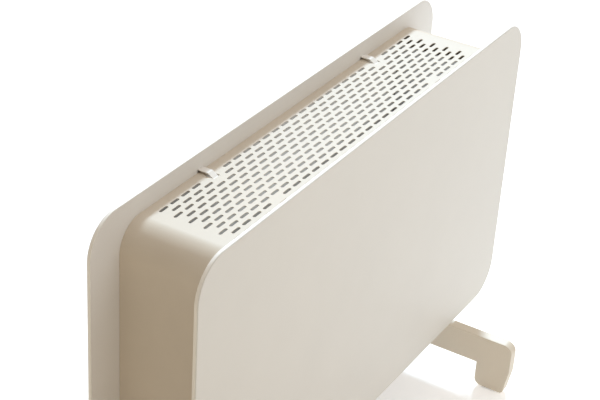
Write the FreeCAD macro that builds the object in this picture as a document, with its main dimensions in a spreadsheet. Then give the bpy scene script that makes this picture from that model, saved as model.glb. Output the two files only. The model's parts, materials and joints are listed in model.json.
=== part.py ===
import FreeCAD, Part
import math
import os
import re
import Sketcher
from FreeCAD import Vector

# A free-standing ceramic panel heater. Two thin rounded panels, front and rear, stand on either side
# of a narrower casing whose top is a slotted grille. Two feet reach out in front and behind.
# The frame stands on the floor: +Z is up, +X runs along the width, the front faces -Y.

doc = FreeCAD.newDocument("CeramicPanelHeater")

# Driving sizes in millimetres, one row each: alias, value.
drivingSizes = [
    # panels
    ("panelWidth", 700.0), ("panelHeight", 389.0), ("panelLift", 82.0), ("panelCorner", 42.0),
    ("panelGap", 118.7), ("rimDepth", 4.3), ("rimRound", 1.8), ("skinThick", 0.8),
    ("linerThick", 0.6), ("linerGap", 0.1),
    # casing
    ("caseInsetSide", 45.9), ("caseInsetEnd", 22.7), ("caseCorner", 32.0), ("caseSheet", 1.0),
    ("flangeWidth", 10.0), ("returnLength", 14.0), ("lapGap", 0.3), ("trayFlange", 20.0),
    # grille slots
    ("slotPitchX", 18.6), ("slotPitchY", 8.69), ("slotLength", 13.2), ("slotWidth", 3.4),
    ("slotMargin", 14.0), ("slotRows", 11.0), ("slotShift", 1.95), ("hookPitches", 9.0),
    # air inlet slots
    ("inletPitchX", 27.9), ("inletPitchY", 12.0), ("inletLength", 20.0), ("inletWidth", 5.0),
    ("inletRows", 7.0), ("inletMargin", 24.0),
    # hooks that hang the panels on the casing
    ("hookWidth", 9.0), ("hookSheet", 1.2), ("hookReach", 18.4), ("hookFoot", 8.0),
    ("hookRamp", 7.0), ("hookRise", 2.2), ("hookLip", 4.0), ("hookGap", 0.9), ("hookHoleRun", 9.5),
    # feet
    ("footWidth", 14.0), ("footBar", 40.0), ("footTopGap", 6.0), ("footReach", 150.0),
    ("footPadRun", 46.0), ("footTaper", 6.0), ("footWall", 2.5), ("footTopRound", 12.0),
    ("footHeelRound", 10.0), ("footToeRound", 5.0), ("footClear", 4.0), ("riserRun", 90.0),
    ("footScrewPitch", 60.0), ("footWeb", 14.0), ("footRoof", 4.0),
    ("padThick", 4.0), ("padSink", 2.0), ("padInset", 2.0),
    ("nutPlateWidth", 21.0), ("nutPlateThick", 3.0),
    # heating elements
    ("elementLift", 65.0), ("elementOffset", 25.0), ("coreWide", 9.0), ("coreTall", 18.0),
    ("coreGap", 0.2), ("coreOut", 10.0), ("sleeveWall", 1.5), ("finWide", 38.0), ("finTall", 56.0),
    ("finThick", 0.8), ("finPitch", 8.0), ("finGap", 4.0),
    ("insulatorThick", 14.0), ("insulatorWide", 92.0), ("insulatorTall", 40.0),
    ("bracketClear", 12.0), ("bracketSheet", 1.5), ("bracketTall", 112.0), ("bracketFoot", 14.0),
    ("bracketWindow", 5.0),
    ("tabThick", 0.8), ("tabLength", 9.0), ("tabTall", 6.3),
    ("shieldGap", 9.35), ("shieldSheet", 0.8), ("shieldTall", 210.0), ("shieldFoot", 8.0),
    ("cutoutRadius", 8.0), ("cutoutDeep", 8.0), ("cutoutEarWide", 30.0), ("cutoutEarTall", 12.0),
    ("cutoutEarThick", 1.0), ("cutoutDrop", 12.0),
    # control chamber
    ("partitionGap", 0.3), ("partitionFoot", 10.0), ("partitionDrop", 14.0),
    ("grommetRadius", 11.0), ("grommetBore", 7.0), ("grommetThick", 5.0), ("grommetRise", 90.0),
    # controls on the end wall
    ("fasciaWide", 84.0), ("fasciaTall", 166.0), ("fasciaThick", 3.0), ("fasciaCorner", 10.0),
    ("fasciaDrop", 48.0), ("knobDrop", 34.0), ("knobRadius", 19.0), ("knobSkirt", 4.0),
    ("knobGripRadius", 16.0), ("knobTall", 16.0), ("knobClear", 1.0), ("knobRidge", 3.0),
    ("nutRadius", 8.0), ("nutTall", 2.4), ("nutRoom", 2.0), ("bushRadius", 5.0), ("bushOut", 3.4),
    ("shaftRadius", 3.0), ("shaftGap", 0.06), ("shaftInside", 12.0), ("fitGap", 0.2),
    ("thermostatWide", 32.0), ("thermostatDeep", 20.0),
    ("rockerDrop", 106.0), ("rockerPitch", 32.0), ("rockerWide", 13.4), ("rockerRadius", 12.2),
    ("rockerGap", 0.3), ("rockerAngle", 12.0), ("rockerSink", 1.5), ("rockerFace", 4.5),
    ("rockerTail", 4.0), ("trunnionRadius", 1.5), ("trunnionGap", 0.05), ("trunnionOut", 1.4),
    ("housingWide", 19.0), ("housingTall", 30.0), ("housingDeep", 24.0), ("bezelEdge", 2.0),
    ("bezelThick", 1.5),
    ("lampDrop", 72.0), ("lensRadius", 4.0), ("lensRim", 5.5), ("lensOut", 1.6), ("lampDeep", 16.0),
    ("capillaryRadius", 0.8), ("bulbRadius", 2.5), ("bulbLength", 50.0),
    # mains inlet
    ("glandRise", 52.0), ("glandRadius", 8.0), ("glandBore", 4.0), ("glandFlange", 11.0),
    ("glandFlangeThick", 3.0), ("glandInside", 12.0), ("glandNutRadius", 11.0),
    ("glandNutTall", 5.0),
    ("blockWide", 40.0), ("blockDeep", 16.0), ("blockTall", 18.0), ("blockRise", 40.0),
    ("wireRadius", 1.1), ("wireBend", 10.6), ("bulbRise", 9.6),
    # tilt switch
    ("tiltWide", 26.0), ("tiltTall", 46.0), ("tiltPlate", 2.0), ("tiltRoom", 11.0),
    ("tiltRise", 62.0), ("tiltOffset", 36.0), ("tiltPinRadius", 1.5), ("tiltPinGap", 0.06),
    ("tiltPinDrop", 9.0), ("pendulumEye", 4.0), ("pendulumArm", 24.0), ("pendulumThick", 5.0),
    ("pendulumWeight", 6.5), ("microTall", 9.0),
    # screws
    ("screwRadius", 2.0), ("screwHead", 3.6), ("screwHeadTall", 2.2), ("screwGap", 0.15),
    ("screwPast", 2.0), ("longScrewRadius", 2.5), ("longScrewHead", 4.2), ("panelScrewEdge", 12.0),
    ("panelScrewSpread", 200.0),
]

# Places worked out from the driving sizes, one row each: alias, formula.
derivedPlaces = [
    ("panelHalf", "panelWidth / 2"),
    ("gapHalf", "panelGap / 2"),
    ("panelTop", "panelLift + panelHeight"),
    ("caseHalf", "panelWidth / 2 - caseInsetSide"),
    ("caseLow", "panelLift + caseInsetEnd"),
    ("caseHigh", "panelTop - caseInsetEnd"),
    ("flatHalf", "caseHalf - caseCorner"),
    ("returnEnd", "flatHalf - returnLength"),
    ("flangeFace", "gapHalf - caseSheet"),
    ("trayLow", "caseLow + caseSheet"),
    ("baseTop", "trayLow + caseSheet"),
    ("slotColumns", "floor((2 * (flatHalf - slotMargin) - slotLength) / slotPitchX) + 1"),
    ("hookX", "hookPitches * slotPitchX"),
    ("hookDive", "gapHalf - hookReach"),
    ("hookMitre", "hookSheet * tan(atan((hookRise + caseSheet + hookSheet) / hookRamp) / 2)"),
    ("footX", "returnEnd - footClear - footWidth / 2"),
    ("footTop", "panelLift - footTopGap"),
    ("footUnder", "footTop - footBar"),
    ("bracketX", "footX - nutPlateWidth / 2 - bracketClear"),
    ("insulatorX", "bracketX - insulatorThick"),
    ("finHalf", "insulatorX - finGap"),
    ("finCount", "floor((2 * finHalf - finThick) / finPitch) + 1"),
    ("coreHalf", "bracketX + bracketSheet + coreOut"),
    ("elementZ", "baseTop + elementLift"),
    ("shieldFace", "gapHalf - shieldGap"),
    ("inletColumns", "floor(2 * (bracketX - inletMargin) / inletPitchX) + 1"),
    ("partitionX", "flatHalf - slotMargin + partitionGap"),
    ("chamberX", "partitionX + caseSheet"),
    ("grommetZ", "baseTop + grommetRise"),
    ("wallIn", "caseHalf - caseSheet"),
    ("fasciaOut", "caseHalf + fasciaThick"),
    ("fasciaTop", "caseHigh - fasciaDrop"),
    ("knobZ", "fasciaTop - knobDrop"),
    ("lampZ", "fasciaTop - lampDrop"),
    ("rockerZ", "fasciaTop - rockerDrop"),
    ("pivotX", "fasciaOut - rockerSink"),
    ("glandZ", "caseLow + glandRise"),
    ("blockZ", "grommetZ + blockRise"),
    ("tiltLow", "baseTop + tiltRise"),
    ("tiltPinZ", "tiltLow + tiltTall - tiltPinDrop"),
    ("screwHole", "screwRadius + screwGap"),
    ("longScrewHole", "longScrewRadius + screwGap"),
]


def fillSheet(name, rows):
    sheet = doc.addObject("Spreadsheet::Sheet", name)
    for line, (alias, content) in enumerate(rows, start=1):
        sheet.set("A%d" % line, alias)
        sheet.set("B%d" % line, content if isinstance(content, str) else str(content))
        sheet.setAlias("B%d" % line, alias)
    doc.recompute()
    return sheet


sheetOf = {alias: "Sizes" for alias, _ in drivingSizes}
sheetOf.update({alias: "Places" for alias, _ in derivedPlaces})


def bound(text):
    """Point every size and place named in a formula at its own sheet."""
    return re.sub(r"[A-Za-z]\w*",
                  lambda word: "%s.%s" % (sheetOf[word[0]], word[0]) if word[0] in sheetOf else word[0],
                  text)


def placeFormula(text):
    """A formula for the Places sheet, where its own names need no sheet before them."""
    return "=" + bound(text).replace("Places.", "")


sizes = fillSheet("Sizes", drivingSizes)
places = fillSheet("Places", [(alias, placeFormula(text)) for alias, text in derivedPlaces])


def measure(text):
    """The present value of a formula."""
    return float(sizes.evalExpression(bound(text)))


# ---------------------------------------------------------------- shapes bound to the sheets

pieces = []                                   # every finished sub-part, in the order of making
groups = set()                                # the labels that hold several solids

turnedTo = {
    "+X": FreeCAD.Rotation(Vector(0, 1, 0), 90), "-X": FreeCAD.Rotation(Vector(0, 1, 0), -90),
    "+Y": FreeCAD.Rotation(Vector(1, 0, 0), -90), "-Y": FreeCAD.Rotation(Vector(1, 0, 0), 90),
    "+Z": FreeCAD.Rotation(), "-Z": FreeCAD.Rotation(Vector(1, 0, 0), 180),
}
axisVector = {"X": Vector(1, 0, 0), "Y": Vector(0, 1, 0), "Z": Vector(0, 0, 1)}
sketchPlane = {"X": "YZ_Plane", "Y": "XZ_Plane", "Z": "XY_Plane"}


def put(item, spot):
    for axis, text in zip("xyz", spot):
        item.setExpression("Placement.Base." + axis, bound(text))
    return item


def finish(item, label, group=False):
    item.Label = label
    pieces.append(item)
    if group:
        groups.add(label)
    return item


def box(name, low, size):
    item = doc.addObject("Part::Box", name)
    for side, text in zip(("Length", "Width", "Height"), size):
        item.setExpression(side, bound(text))
    return put(item, low)


def rod(name, start, radius, length, along="+Z"):
    item = doc.addObject("Part::Cylinder", name)
    item.setExpression("Radius", bound(radius))
    item.setExpression("Height", bound(length))
    item.Placement = FreeCAD.Placement(Vector(), turnedTo[along])
    return put(item, start)


def join(name, *items):
    item = doc.addObject("Part::MultiFuse", name)
    item.Shapes = list(items)
    return item


def gather(name, items):
    item = doc.addObject("Part::Compound", name)
    item.Links = list(items)
    return item


def carve(name, base, *tools):
    item = doc.addObject("Part::Cut", name)
    item.Base = base
    item.Tool = tools[0] if len(tools) == 1 else gather(name + "Tools", tools)
    return item


def shaped(name, shape):
    item = doc.addObject("Part::Feature", name)
    item.Shape = shape
    return item


def originPlane(body, role):
    return [plane for plane in body.Origin.OriginFeatures if plane.Role == role][0]


def outline(body, name, normal, corners):
    """A closed sketch through the corners, each given as two formulas from the sketch's origin."""
    sketch = body.newObject("Sketcher::SketchObject", name)
    sketch.AttachmentSupport = [(originPlane(body, sketchPlane[normal]), "")]
    sketch.MapMode = "FlatFace"
    spots = [Vector(measure(across), measure(up), 0) for across, up in corners]
    for start, end in zip(spots, spots[1:] + spots[:1]):
        sketch.addGeometry(Part.LineSegment(start, end), False)
    count = len(corners)
    for index in range(count):
        sketch.addConstraint(Sketcher.Constraint("Coincident", index, 2, (index + 1) % count, 1))
    for index, corner in enumerate(corners):
        for kind, axis, text in zip(("DistanceX", "DistanceY"), (-2, -1), corner):
            if text == "0":
                sketch.addConstraint(Sketcher.Constraint("PointOnObject", index, 1, axis))
                continue
            number = sketch.addConstraint(Sketcher.Constraint(kind, -1, 1, index, 1, measure(text)))
            sketch.setExpression("Constraints[%d]" % number, bound(text))
    return sketch


def profileBody(name, normal, corners, depth, low):
    """A straight-sided prism: the corners lie across the normal, counted from low."""
    body = doc.addObject("PartDesign::Body", name)
    sketch = outline(body, name + "Outline", normal, corners)
    pad = body.newObject("PartDesign::Pad", name + "Pad")
    pad.Profile = sketch
    pad.Reversed = normal == "Y"
    pad.setExpression("Length", bound(depth))
    put(body, low)
    doc.recompute()
    return body


def roundEdges(body, name, radius, chosen):
    """Round the edges of the body's tip that the chosen test picks, in the body's own frame."""
    base = body.Tip
    edges = ["Edge%d" % (index + 1) for index, edge in enumerate(base.Shape.Edges) if chosen(edge)]
    fillet = body.newObject("PartDesign::Fillet", name)
    fillet.Base = (base, edges)
    fillet.setExpression("Radius", bound(radius))
    doc.recompute()
    return fillet


def runsAlong(normal):
    def test(edge):
        ends = edge.Vertexes
        if len(ends) < 2:
            return False
        way = ends[1].Point - ends[0].Point
        return way.cross(axisVector[normal]).Length < 1e-6 * way.Length
    return test


def slab(name, normal, low, size, radius):
    """A plate or block whose four edges along the normal are rounded."""
    across = [text for axis, text in zip("XYZ", size) if axis != normal]
    depth = size["XYZ".index(normal)]
    corners = [("0", "0"), (across[0], "0"), (across[0], across[1]), ("0", across[1])]
    body = profileBody(name, normal, corners, depth, low)
    roundEdges(body, name + "Round", radius, runsAlong(normal))
    return body


def screw(name, spot, along, length, radius="screwRadius", head="screwHead"):
    """A pan-head screw: spot is under the head, and the shank runs along the given way."""
    back = along.replace("+", "?").replace("-", "+").replace("?", "-")
    shank = rod(name + "Shank", spot, radius, length, along)
    cap = rod(name + "Head", spot, head, "screwHeadTall", back)
    return join(name, shank, cap)


def screwGroup(label, spots, along, length, radius="screwRadius", head="screwHead"):
    made = [screw("%sNumber%d" % (label, index), spot, along, length, radius, head)
            for index, spot in enumerate(spots)]
    return finish(gather(label + "Group", made), label, group=True)


def drills(name, spots, along, length, radius):
    return [rod("%s%d" % (name, index), spot, radius, length, along)
            for index, spot in enumerate(spots)]


# ---------------------------------------------------------------- panels

def panelPair(side, mirror):
    """A panel is a shallow tray with a rounded rim, closed on its inner side by a flat liner."""
    outer = "-gapHalf - rimDepth" if mirror else "gapHalf"
    tray = slab(side + "Tray", "Y", ("-panelHalf", outer, "panelLift"),
                ("panelWidth", "rimDepth", "panelHeight"), "panelCorner")
    faceY = 0.0 if mirror else measure("rimDepth")
    roundEdges(tray, side + "TrayRim", "rimRound", lambda edge: edgeLies(edge, "y", faceY))
    hollowLow = "-gapHalf - rimDepth + skinThick" if mirror else "gapHalf - skinThick"
    hollow = slab(side + "Hollow", "Y", ("-panelHalf + skinThick", hollowLow, "panelLift + skinThick"),
                  ("panelWidth - 2 * skinThick", "rimDepth", "panelHeight - 2 * skinThick"),
                  "panelCorner - skinThick")
    finish(carve(side + "Panel", tray, hollow), side + "_panel")
    edge = "skinThick + linerGap"
    liner = slab(side + "LinerSheet", "Y",
                 ("-panelHalf + " + edge, "-gapHalf - linerThick" if mirror else "gapHalf",
                  "panelLift + " + edge),
                 ("panelWidth - 2 * (%s)" % edge, "linerThick", "panelHeight - 2 * (%s)" % edge),
                 "panelCorner - skinThick - linerGap")
    holes = drills(side + "LinerHole", panelScrewSpots(mirror), "-Y" if mirror else "+Y",
                   "caseSheet + linerThick + screwPast", "screwRadius")
    for end, across in (("Left", "-"), ("Right", "+")):
        holes.append(box(side + "LinerSlot" + end,
                         (across + "hookX - hookWidth / 2 - hookGap",
                          "-gapHalf - 2 * linerThick" if mirror else "gapHalf - linerThick",
                          "caseHigh + hookRise - hookLip - hookGap"),
                         ("hookWidth + 2 * hookGap", "3 * linerThick",
                          "hookSheet + hookLip + hookGap")))
    finish(carve(side + "Liner", liner, *holes), side + "_liner")


def edgeLies(edge, axis, place):
    """True when the whole edge lies in the plane at this place on the axis."""
    return all(abs(getattr(point, axis) - place) < 1e-6 for point in edge.discretize(5))


def panelScrewSpots(mirror):
    """The screws of one panel sit on the tray's flange, heads inside the casing."""
    face = "-flangeFace" if mirror else "flangeFace"
    return [(x, face, "trayLow + panelScrewEdge") for x in ("-panelScrewSpread", "0", "panelScrewSpread")]


# ---------------------------------------------------------------- casing

def slotSolid(centreX, centreY, low, length, width, depth):
    """One punched slot with round ends, as the solid that cuts it."""
    half = (length - width) / 2
    radius = width / 2
    left = Vector(centreX - half, centreY, low)
    right = Vector(centreX + half, centreY, low)
    up = Vector(0, radius, 0)
    side = Vector(radius, 0, 0)
    edges = [Part.LineSegment(left - up, right - up).toShape(),
             Part.Arc(right - up, right + side, right + up).toShape(),
             Part.LineSegment(right + up, left + up).toShape(),
             Part.Arc(left + up, left - side, left - up).toShape()]
    return Part.Face(Part.Wire(edges)).extrude(Vector(0, 0, depth))


def grilleSlots():
    """Brick-pattern slots of the casing's top, left out around the panel hooks."""
    pitchX, pitchY = measure("slotPitchX"), measure("slotPitchY")
    rows, columns = int(measure("slotRows")), int(measure("slotColumns"))
    hookX, shift = measure("hookX"), measure("slotShift")
    cutters = []
    for row in range(rows):
        centreY = shift + (row - (rows - 1) / 2) * pitchY
        count = columns - row % 2
        fromEdge = min(row, rows - 1 - row)
        for column in range(count):
            centreX = (column - (count - 1) / 2) * pitchX
            nearHook = abs(abs(centreX) - hookX) < pitchX * (0.75 if fromEdge == 0 else 0.25)
            if fromEdge < 2 and nearHook:
                continue
            cutters.append(slotSolid(centreX, centreY, measure("caseHigh - 2 * caseSheet"),
                                     measure("slotLength"), measure("slotWidth"),
                                     measure("3 * caseSheet")))
    return shaped("GrilleSlots", Part.makeCompound(cutters))


def inletSlots():
    """Straight rows of air inlet slots in the base tray."""
    rows, columns = int(measure("inletRows")), int(measure("inletColumns"))
    cutters = []
    for row in range(rows):
        for column in range(columns):
            cutters.append(slotSolid((column - (columns - 1) / 2) * measure("inletPitchX"),
                                     (row - (rows - 1) / 2) * measure("inletPitchY"),
                                     measure("trayLow - caseSheet"), measure("inletLength"),
                                     measure("inletWidth"), measure("3 * caseSheet")))
    return shaped("InletSlots", Part.makeCompound(cutters))


def hookSpots():
    """Where the four hooks stand: side, sign across, face and whether it faces the front panel."""
    return [(side, across, face, face == "front")
            for side, across in (("left", "-"), ("right", "+")) for face in ("front", "rear")]


def hookSlots():
    """The hole in the grille's edge that each hook rises through."""
    cutters = []
    for side, across, face, front in hookSpots():
        low = "-hookDive - hookHoleRun" if front else "hookDive - 2 * hookGap"
        cutters.append(box("HookHole" + side.title() + face.title(),
                           (across + "hookX - hookWidth / 2 - hookGap", low, "caseHigh - 2 * caseSheet"),
                           ("hookWidth + 2 * hookGap", "hookHoleRun + 2 * hookGap", "3 * caseSheet")))
    return cutters


def casingSpots():
    """Screws up through the casing's bottom returns and the tray; the right pair holds the partition."""
    return [(side + "(returnEnd + flatHalf) / 2", y, "caseLow") for side in ("-", "+")
            for y in ("-gapHalf * 0.6", "gapHalf * 0.6")]


def wallOpenings():
    """Everything that passes through the casing's right end wall."""
    cut = [rod("BushHole", ("wallIn - 1", "0", "knobZ"), "bushRadius + fitGap", "caseSheet + 2", "+X"),
           rod("LampHole", ("wallIn - 1", "0", "lampZ"), "lensRadius + fitGap", "caseSheet + 2", "+X"),
           rod("GlandHole", ("wallIn - 1", "0", "glandZ"), "glandRadius + fitGap", "caseSheet + 2", "+X")]
    for side in ("-", "+"):
        cut.append(box("RockerHole" + ("Front" if side == "-" else "Rear"),
                       ("wallIn - 1", side + "rockerPitch / 2 - housingWide / 2 - fitGap",
                        "rockerZ - housingTall / 2 - fitGap"),
                       ("caseSheet + 2", "housingWide + 2 * fitGap", "housingTall + 2 * fitGap")))
    return cut + drills("WallScrewHole", fasciaSpots(), "-X", "fasciaThick + caseSheet + 2", "screwRadius")


def casing():
    width, height = "2 * caseHalf", "caseHigh - caseLow"
    outer = slab("CasingOuter", "Y", ("-caseHalf", "-gapHalf", "caseLow"),
                 (width, "panelGap", height), "caseCorner")
    cavity = slab("CasingCavity", "Y", ("-caseHalf + caseSheet", "-flangeFace", "caseLow + caseSheet"),
                  (width + " - 2 * caseSheet", "2 * flangeFace", height + " - 2 * caseSheet"),
                  "caseCorner - caseSheet")
    edge = "(caseSheet + flangeWidth)"
    window = slab("CasingWindow", "Y", ("-caseHalf + " + edge, "-gapHalf - 1", "caseLow + " + edge),
                  (width + " - 2 * " + edge, "panelGap + 2", height + " - 2 * " + edge),
                  "caseCorner - caseSheet - flangeWidth")
    gap = box("CasingBottomGap", ("-returnEnd", "-gapHalf - 1", "caseLow - 1"),
              ("2 * returnEnd", "panelGap + 2", "caseSheet + flangeWidth + 2"))
    shell = carve("CasingShell", carve("CasingBand", carve("CasingRing", outer, cavity), window), gap)
    grille = carve("CasingGrille", shell, grilleSlots(), *hookSlots())
    lap = drills("CasingLapHole", casingSpots(), "+Z", "caseSheet", "screwHole")
    finish(carve("Casing", grille, *(wallOpenings() + lap)), "casing_band")


def footScrewSpots(side):
    return [(side + "footX", y, "footUnder + footRoof")
            for y in ("-footScrewPitch / 2", "footScrewPitch / 2")]


def chassisSpots():
    """Screws driven down into the base tray, two for each element bracket."""
    return [(x, y, "baseTop + bracketSheet")
            for x in ("-bracketX + bracketFoot / 2", "bracketX - bracketFoot / 2")
            for y in ("-shieldFace * 0.8", "shieldFace * 0.8")]


def baseTray():
    tongue = box("TrayTongue", ("-flatHalf + 1", "-flangeFace + lapGap", "trayLow"),
                 ("2 * flatHalf - 2", "2 * flangeFace - 2 * lapGap", "caseSheet"))
    plate = box("TrayPlate", ("-returnEnd + lapGap", "-gapHalf", "trayLow"),
                ("2 * (returnEnd - lapGap)", "panelGap", "caseSheet"))
    flanges = [box("TrayFlange" + side, ("-returnEnd + lapGap", low, "trayLow"),
                   ("2 * (returnEnd - lapGap)", "caseSheet", "trayFlange"))
               for side, low in (("Front", "-gapHalf"), ("Rear", "flangeFace"))]
    tray = join("TraySheet", tongue, plate, *flanges)
    holes = drills("TrayFootHole", footScrewSpots("-") + footScrewSpots("+"), "+Z",
                   "baseTop - footUnder", "longScrewHole")
    holes += drills("TrayLapHole", casingSpots(), "+Z", "3 * caseSheet", "screwRadius")
    holes += drills("TrayChassisHole", chassisSpots(), "-Z", "bracketSheet + 2 * caseSheet", "screwRadius")
    for mirror in (False, True):
        holes += drills("TrayPanelHole" + ("Front" if mirror else "Rear"), panelScrewSpots(mirror),
                        "-Y" if mirror else "+Y", "caseSheet", "screwHole")
    finish(carve("BaseTray", tray, inletSlots(), *holes), "base_tray")


def hooks():
    """A hook is riveted under the grille, rises through its hole and hooks behind the liner's slot."""
    lipFace = "gapHalf + linerThick + lapGap"
    corners = [("hookDive - hookFoot", "-caseSheet - hookSheet"), ("hookDive", "-caseSheet - hookSheet"),
               ("hookDive + hookRamp", "hookRise"), (lipFace + " + hookSheet", "hookRise"),
               (lipFace + " + hookSheet", "hookRise + hookSheet + hookLip"),
               (lipFace, "hookRise + hookSheet + hookLip"), (lipFace, "hookRise + hookSheet"),
               ("hookDive + hookRamp - hookMitre", "hookRise + hookSheet"),
               ("hookDive - hookMitre", "-caseSheet"), ("hookDive - hookFoot", "-caseSheet")]
    for side, across, face, front in hookSpots():
        turned = [("-(%s)" % y if front else y, z) for y, z in corners]
        hook = profileBody(side.title() + face.title() + "Hook", "X", turned, "hookWidth",
                           (across + "hookX - hookWidth / 2", "0", "caseHigh"))
        finish(hook, "%s_hook_%s" % (face, side))


# ---------------------------------------------------------------- feet

def foot(side, across):
    """A moulded beam with a leg turned down at each end and a riser up to the base tray."""
    reach, heel, toe = "footReach", "footReach - footPadRun", "footReach - footTaper"
    corners = [("0", "0"), ("-(%s)" % heel, "0"), ("-(%s)" % heel, "padSink - footUnder"),
               ("-(%s)" % toe, "padSink - footUnder"), ("-" + reach, "0"), ("-" + reach, "footBar"),
               ("-riserRun / 2", "footBar"), ("-riserRun / 2", "trayLow - footUnder"),
               ("riserRun / 2", "trayLow - footUnder"), ("riserRun / 2", "footBar"),
               (reach, "footBar"), (reach, "0"), (toe, "padSink - footUnder"),
               (heel, "padSink - footUnder"), (heel, "0")]
    name = side.title() + "Foot"
    beam = profileBody(name, "X", corners, "footWidth", (across + "footX - footWidth / 2", "0", "footUnder"))
    spots = {"footTopRound": (measure(reach), measure("footBar")),
             "footHeelRound": (measure(heel), measure("padSink - footUnder")),
             "footToeRound": (measure(toe), measure("padSink - footUnder"))}
    for radius, (y, z) in spots.items():
        roundEdges(beam, name + radius.title(), radius, lambda edge: standsAt(edge, y, z))
    hollows = []
    for end, sign in (("Front", "-"), ("Rear", "+")):
        innerLow = "footScrewPitch / 2 + footWeb / 2"
        run = "footReach - footPadRun + footWall - (%s)" % innerLow
        low = innerLow if sign == "+" else "-(%s) - (%s)" % (innerLow, run)
        hollows.append(box(name + "Hollow" + end,
                           (across + "footX - footWidth / 2 + footWall", low, "footUnder - 1"),
                           ("footWidth - 2 * footWall", run, "footBar - footWall + 1")))
        legRun = "footPadRun - footTaper - 2 * footHeelRound"
        legLow = "footReach - footPadRun + footHeelRound"
        hollows.append(box(name + "Socket" + end,
                           (across + "footX - footWidth / 2 + footWall",
                            legLow if sign == "+" else "-(%s) - (%s)" % (legLow, legRun), "padSink - 1"),
                           ("footWidth - 2 * footWall", legRun, "padThick - padSink + 1")))
        hollows.append(rod(name + "ScrewBore" + end,
                           (across + "footX", sign + "footScrewPitch / 2", "footUnder - 1"),
                           "longScrewHead + fitGap", "footRoof + 1"))
        hollows.append(rod(name + "ScrewHole" + end,
                           (across + "footX", sign + "footScrewPitch / 2", "footUnder"),
                           "longScrewHole", "trayLow - footUnder"))
    middle = box(name + "HollowMiddle",
                 (across + "footX - footWidth / 2 + footWall", "-footScrewPitch / 2 + footWeb / 2",
                  "footUnder - 1"),
                 ("footWidth - 2 * footWall", "footScrewPitch - footWeb",
                  "trayLow - footUnder - footWall + 1"))
    tool = join(name + "Hollows", middle, *hollows)
    finish(carve(name + "Moulding", beam, tool), "%s_foot" % side)


def standsAt(edge, y, z):
    """True for an edge along X at this height, in front or behind."""
    return all(abs(abs(v.Point.y) - y) < 1e-4 and abs(v.Point.z - z) < 1e-4 for v in edge.Vertexes)


def footPads():
    """A rubber pad is pressed into the underside of each leg and stands just proud of it."""
    run = "footPadRun - footTaper - 2 * footHeelRound"
    low = "footReach - footPadRun + footHeelRound"
    for side, across in (("left", "-"), ("right", "+")):
        for end, sign in (("front", "-"), ("rear", "+")):
            name = side.title() + end.title() + "Pad"
            start = low if sign == "+" else "-(%s) - (%s)" % (low, run)
            pad = slab(name, "Z",
                       (across + "footX - footWidth / 2 + footWall + fitGap / 2",
                        start + " + fitGap / 2", "0"),
                       ("footWidth - 2 * footWall - fitGap", run + " - fitGap", "padThick"), "padInset")
            finish(pad, "foot_pad_%s_%s" % (side, end))


def nutPlates():
    plates = []
    for side, across in (("Left", "-"), ("Right", "+")):
        plate = box("NutPlate" + side, (across + "footX - nutPlateWidth / 2", "-riserRun / 2", "baseTop"),
                    ("nutPlateWidth", "riserRun", "nutPlateThick"))
        plates.append(carve("NutPlateDrilled" + side, plate,
                            *drills("NutPlateHole" + side, footScrewSpots(across), "+Z",
                                    "baseTop + 2 * nutPlateThick - footUnder", "longScrewRadius")))
    finish(gather("NutPlates", plates), "foot_nut_plates", group=True)


# ---------------------------------------------------------------- heating elements

def finnedSleeve(name, label, across):
    """An aluminium sleeve carrying a row of thin fins, with a slot through it for the ceramic core."""
    wide, tall = "coreWide + 2 * coreGap + 2 * sleeveWall", "coreTall + 2 * coreGap + 2 * sleeveWall"
    body = profileBody(name, "X", centredCorners(wide, tall), "2 * finHalf",
                       ("-finHalf", across + "elementOffset", "elementZ"))
    sketch = outline(body, name + "FinOutline", "X", centredCorners("finWide", "finTall"))
    fin = body.newObject("PartDesign::Pad", name + "Fin")
    fin.Profile = sketch
    fin.setExpression("Length", bound("finThick"))
    doc.recompute()
    row = body.newObject("PartDesign::LinearPattern", name + "FinRow")
    row.Originals = [fin]
    row.Direction = (sketch, ["N_Axis"])
    row.setExpression("Length", bound("finPitch * (finCount - 1)"))
    row.setExpression("Occurrences", bound("finCount"))
    body.Tip = row
    doc.recompute()
    bore = body.newObject("PartDesign::Pocket", name + "Bore")
    bore.Profile = outline(body, name + "BoreOutline", "X",
                           centredCorners("coreWide + 2 * coreGap", "coreTall + 2 * coreGap"))
    bore.Type = "ThroughAll"
    bore.Reversed = True
    before = row.Shape.Volume
    doc.recompute()
    if not bore.Shape.Volume < before:
        raise RuntimeError(name + ": the bore cut nothing")
    return finish(body, label)


def centredCorners(wide, tall):
    w, t = "(%s) / 2" % wide, "(%s) / 2" % tall
    return [("-" + w, "-" + t), (w, "-" + t), (w, t), ("-" + w, t)]


def elementParts():
    tabs = []
    for side, across in (("front", "-"), ("rear", "+")):
        name = side.title()
        finnedSleeve(name + "Fins", side + "_element_fins", across)
        core = box(name + "Core", ("-coreHalf", across + "elementOffset - coreWide / 2",
                                   "elementZ - coreTall / 2"), ("2 * coreHalf", "coreWide", "coreTall"))
        finish(core, side + "_ceramic_core")
        for edge in ("-", "+"):
            tabs.append(box(name + "Tab" + ("Low" if edge == "-" else "High"),
                            ("coreHalf", across + "elementOffset - tabTall / 2",
                             "elementZ %s coreTall / 4 - tabThick / 2" % edge),
                            ("tabLength", "tabTall", "tabThick")))
    finish(gather("ElementTabs", tabs), "element_terminals", group=True)


def coreWindows(name, low, deep, spare):
    return [box(name + side, (low, across + "elementOffset - coreWide / 2 - (%s)" % spare,
                              "elementZ - coreTall / 2 - (%s)" % spare),
                (deep, "coreWide + 2 * (%s)" % spare, "coreTall + 2 * (%s)" % spare))
            for side, across in (("Front", "-"), ("Rear", "+"))]


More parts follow.
